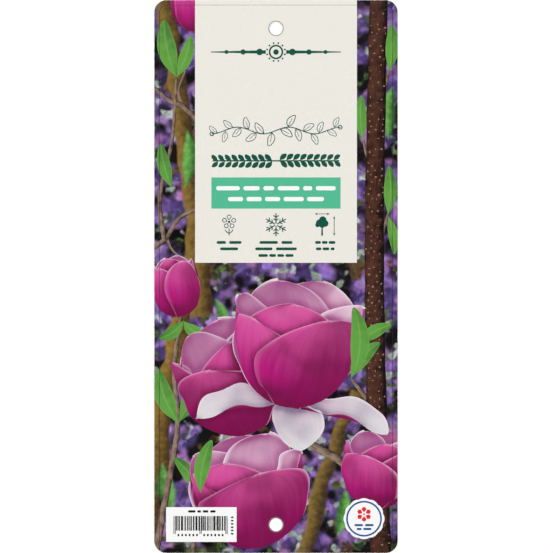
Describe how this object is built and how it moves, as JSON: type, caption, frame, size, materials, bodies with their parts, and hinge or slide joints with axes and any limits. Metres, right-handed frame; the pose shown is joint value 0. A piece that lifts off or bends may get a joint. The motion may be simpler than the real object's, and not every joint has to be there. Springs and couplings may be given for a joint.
{
  "type": "plant label",
  "caption": "Tall printed plastic plant label with round corners and a punched hanging hole near each end, lying flat with its print up.",
  "frame": {"origin": "middle of the card's underside, on the surface that it lies on", "axes": "+Z out of the printed face, +Y towards the label's top end, +X across the card to the reader's right"},
  "size_m": [0.11, 0.25, 0.0005],
  "materials": {
    "card": "white polypropylene sheet, satin on the unprinted back and bare at the cut edge",
    "picture_print": "full-colour flower picture printed on the sheet under a thin glossy film",
    "cream_print": "flat cream and white print under the same glossy film",
    "green_print": "flat mint green print under the same glossy film",
    "dark_ink": "dark green and black ink under the same glossy film"
  },
  "bodies": {
    "root": {"card": "card"}
  },
  "joints": []
}
